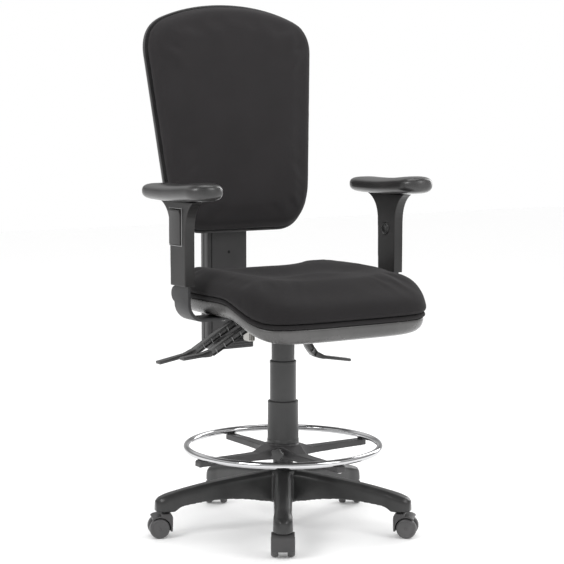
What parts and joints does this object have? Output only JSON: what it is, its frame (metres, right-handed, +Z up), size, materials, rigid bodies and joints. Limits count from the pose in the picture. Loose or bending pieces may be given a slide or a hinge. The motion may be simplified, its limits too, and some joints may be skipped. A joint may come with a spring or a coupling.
{
  "type": "drafting chair",
  "caption": "High office drafting chair on casters: padded seat and tall back, height-adjustable armrests, gas lift, chrome foot ring and star base.",
  "frame": {"origin": "centre of the chair's footprint on the floor, just behind the gas-lift column", "axes": "+Z up along the column, -Y the way the sitter faces, +X the sitter's left"},
  "size_m": [0.696, 0.6764, 1.2973],
  "materials": {
    "armrest_pad": "soft moulded polyurethane, satin to glossy",
    "back_shell_plastic": "grained polypropylene",
    "black_nylon": "glass filled nylon, fine grain",
    "black_steel": "black powder coat, satin",
    "chrome_ring": "mirror chrome plate",
    "cover_plastic": "satin polypropylene",
    "lift_steel": "black lacquered steel",
    "piston_chrome": "hard chrome",
    "seat_shell_plastic": "grained polypropylene with a soft sheen",
    "upholstery_cloth": "charcoal black fine weave, matt",
    "wheel_nylon": "satin nylon",
    "zinc_plate": "zinc plated steel"
  },
  "bodies": {
    "base": {"star_base": "black_nylon", "gas_lift_tube": "lift_steel"},
    "lift_rod": {"gas_lift_rod": "piston_chrome"},
    "lift": {"gas_lift_cylinder": "lift_steel", "column_cover_upper": "cover_plastic", "mechanism_housing": "zinc_plate"},
    "middle_cover": {"column_cover_middle": "cover_plastic"},
    "ring": {"foot_ring_spider": "black_nylon", "foot_ring": "chrome_ring", "column_cover_lower": "cover_plastic"},
    "ring_knob": {"foot_ring_knob": "black_nylon"},
    "seat": {"seat_plate": "black_steel", "seat_tilt_pin": "zinc_plate", "recline_pin": "zinc_plate", "recline_friction_pack": "zinc_plate", "seat_shell": "seat_shell_plastic", "seat_cushion": "upholstery_cloth", "arm_left_post": "black_steel", "arm_right_post": "black_steel"},
    "back_frame": {"back_bracket": "black_steel", "back_upright": "black_nylon"},
    "back": {"back_cushion": "upholstery_cloth", "back_shell": "back_shell_plastic", "back_height_carriage": "back_shell_plastic"},
    "height_lever": {"lever_seat_height": "black_nylon"},
    "tilt_lever": {"lever_seat_tilt": "black_nylon"},
    "recline_lever": {"lever_back_angle": "black_nylon"},
    "arm_left": {"arm_left_sleeve": "black_nylon", "arm_left_pad": "armrest_pad"},
    "trigger_left": {"arm_left_trigger": "black_nylon"},
    "button_left": {"arm_left_button": "black_nylon"},
    "arm_right": {"arm_right_sleeve": "black_nylon", "arm_right_pad": "armrest_pad"},
    "trigger_right": {"arm_right_trigger": "black_nylon"},
    "button_right": {"arm_right_button": "black_nylon"},
    "caster_1_fork": {"caster_1_hood": "black_nylon", "caster_1_stem": "zinc_plate"},
    "caster_1_wheels": {"caster_1_axle": "zinc_plate", "caster_1_wheel_left": "wheel_nylon", "caster_1_wheel_right": "wheel_nylon"},
    "caster_2_fork": {"caster_2_hood": "black_nylon", "caster_2_stem": "zinc_plate"},
    "caster_2_wheels": {"caster_2_axle": "zinc_plate", "caster_2_wheel_left": "wheel_nylon", "caster_2_wheel_right": "wheel_nylon"},
    "caster_3_fork": {"caster_3_hood": "black_nylon", "caster_3_stem": "zinc_plate"},
    "caster_3_wheels": {"caster_3_axle": "zinc_plate", "caster_3_wheel_left": "wheel_nylon", "caster_3_wheel_right": "wheel_nylon"},
    "caster_4_fork": {"caster_4_hood": "black_nylon", "caster_4_stem": "zinc_plate"},
    "caster_4_wheels": {"caster_4_axle": "zinc_plate", "caster_4_wheel_left": "wheel_nylon", "caster_4_wheel_right": "wheel_nylon"},
    "caster_5_fork": {"caster_5_hood": "black_nylon", "caster_5_stem": "zinc_plate"},
    "caster_5_wheels": {"caster_5_axle": "zinc_plate", "caster_5_wheel_left": "wheel_nylon", "caster_5_wheel_right": "wheel_nylon"}
  },
  "joints": [
    {"name": "seat_swivel", "type": "hinge", "parent": "base", "child": "lift_rod", "pos_m": [0, -0.011, 0.078], "axis": [0, 0, 1], "continuous": true},
    {"name": "gas_lift", "type": "slide", "parent": "lift_rod", "child": "lift", "axis": [0, 0, 1], "range_m": [-0.08, 0.07]},
    {"name": "cover_slide", "type": "slide", "parent": "base", "child": "middle_cover", "axis": [0, 0, 1], "range_m": [-0.036, 0.0315]},
    {"name": "foot_ring_height", "type": "slide", "parent": "base", "child": "ring", "axis": [0, 0, 1], "range_m": [-0.03, 0.03]},
    {"name": "foot_ring_knob_turn", "type": "hinge", "parent": "ring", "child": "ring_knob", "pos_m": [0, -0.011, 0.198], "axis": [-0.6947, -0.7193, 0], "continuous": true},
    {"name": "seat_tilt", "type": "hinge", "parent": "lift", "child": "seat", "pos_m": [0, -0.071, 0.522], "axis": [1, 0, 0], "range_deg": [-4, 5]},
    {"name": "back_angle", "type": "hinge", "parent": "seat", "child": "back_frame", "pos_m": [0, 0.073, 0.53], "axis": [1, 0, 0], "range_deg": [-15, 5]},
    {"name": "back_height", "type": "slide", "parent": "back_frame", "child": "back", "axis": [0, 0, 1], "range_m": [-0.03, 0.05]},
    {"name": "seat_height_lever", "type": "hinge", "parent": "lift", "child": "height_lever", "pos_m": [-0.06, 0.022, 0.512], "axis": [0, 1, 0], "range_deg": [0, 8], "stiffness_Nm_per_rad": 8},
    {"name": "seat_tilt_lever", "type": "hinge", "parent": "lift", "child": "tilt_lever", "pos_m": [0.059, -0.002, 0.508], "axis": [0, -1, 0], "range_deg": [0, 8]},
    {"name": "back_angle_lever", "type": "hinge", "parent": "seat", "child": "recline_lever", "pos_m": [-0.06, 0.085, 0.519], "axis": [0, 1, 0], "range_deg": [0, 8]},
    {"name": "arm_left_height", "type": "slide", "parent": "seat", "child": "arm_left", "axis": [0, 0, 1], "range_m": [0, 0.06]},
    {"name": "arm_left_trigger_rock", "type": "hinge", "parent": "arm_left", "child": "trigger_left", "pos_m": [0.3149, -0.036, 0.725], "axis": [0, 1, 0], "range_deg": [0, 8], "stiffness_Nm_per_rad": 0.6},
    {"name": "arm_left_button_press", "type": "slide", "parent": "arm_left", "child": "button_left", "axis": [1, 0, 0], "range_m": [0, 0.0025], "stiffness_N_per_m": 400},
    {"name": "arm_right_height", "type": "slide", "parent": "seat", "child": "arm_right", "axis": [0, 0, 1], "range_m": [0, 0.06]},
    {"name": "arm_right_trigger_rock", "type": "hinge", "parent": "arm_right", "child": "trigger_right", "pos_m": [-0.3149, -0.036, 0.725], "axis": [0, -1, 0], "range_deg": [0, 8], "stiffness_Nm_per_rad": 0.6},
    {"name": "arm_right_button_press", "type": "slide", "parent": "arm_right", "child": "button_right", "axis": [-1, 0, 0], "range_m": [0, 0.0025], "stiffness_N_per_m": 400},
    {"name": "caster_1_swivel", "type": "hinge", "parent": "base", "child": "caster_1_fork", "pos_m": [-0.16285, -0.26176, 0.06], "axis": [0, 0, 1], "continuous": true},
    {"name": "caster_1_roll", "type": "hinge", "parent": "caster_1_fork", "child": "caster_1_wheels", "pos_m": [-0.1525, -0.24583, 0.025], "axis": [-0.8387, 0.5446, 0], "continuous": true},
    {"name": "caster_2_swivel", "type": "hinge", "parent": "base", "child": "caster_2_fork", "pos_m": [0.18817, -0.24337, 0.06], "axis": [0, 0, 1], "continuous": true},
    {"name": "caster_2_roll", "type": "hinge", "parent": "caster_2_fork", "child": "caster_2_wheels", "pos_m": [0.2016, -0.2568, 0.025], "axis": [0.7071, 0.7071, 0], "continuous": true},
    {"name": "caster_3_swivel", "type": "hinge", "parent": "base", "child": "caster_3_fork", "pos_m": [0.27914, 0.09615, 0.06], "axis": [0, 0, 1], "continuous": true},
    {"name": "caster_3_roll", "type": "hinge", "parent": "caster_3_fork", "child": "caster_3_wheels", "pos_m": [0.28949, 0.11209, 0.025], "axis": [-0.8387, 0.5446, 0], "continuous": true},
    {"name": "caster_4_swivel", "type": "hinge", "parent": "base", "child": "caster_4_fork", "pos_m": [-0.01565, 0.28759, 0.06], "axis": [0, 0, 1], "continuous": true},
    {"name": "caster_4_roll", "type": "hinge", "parent": "caster_4_fork", "child": "caster_4_wheels", "pos_m": [-0.0053, 0.30352, 0.025], "axis": [-0.8387, 0.5446, 0], "continuous": true},
    {"name": "caster_5_swivel", "type": "hinge", "parent": "base", "child": "caster_5_fork", "pos_m": [-0.28881, 0.06639, 0.06], "axis": [0, 0, 1], "continuous": true},
    {"name": "caster_5_roll", "type": "hinge", "parent": "caster_5_fork", "child": "caster_5_wheels", "pos_m": [-0.30655, 0.0732, 0.025], "axis": [-0.3584, -0.9336, 0], "continuous": true}
  ],
  "couplings": [
    {"joint": "cover_slide", "follows": "gas_lift", "ratio": 0.45}
  ]
}
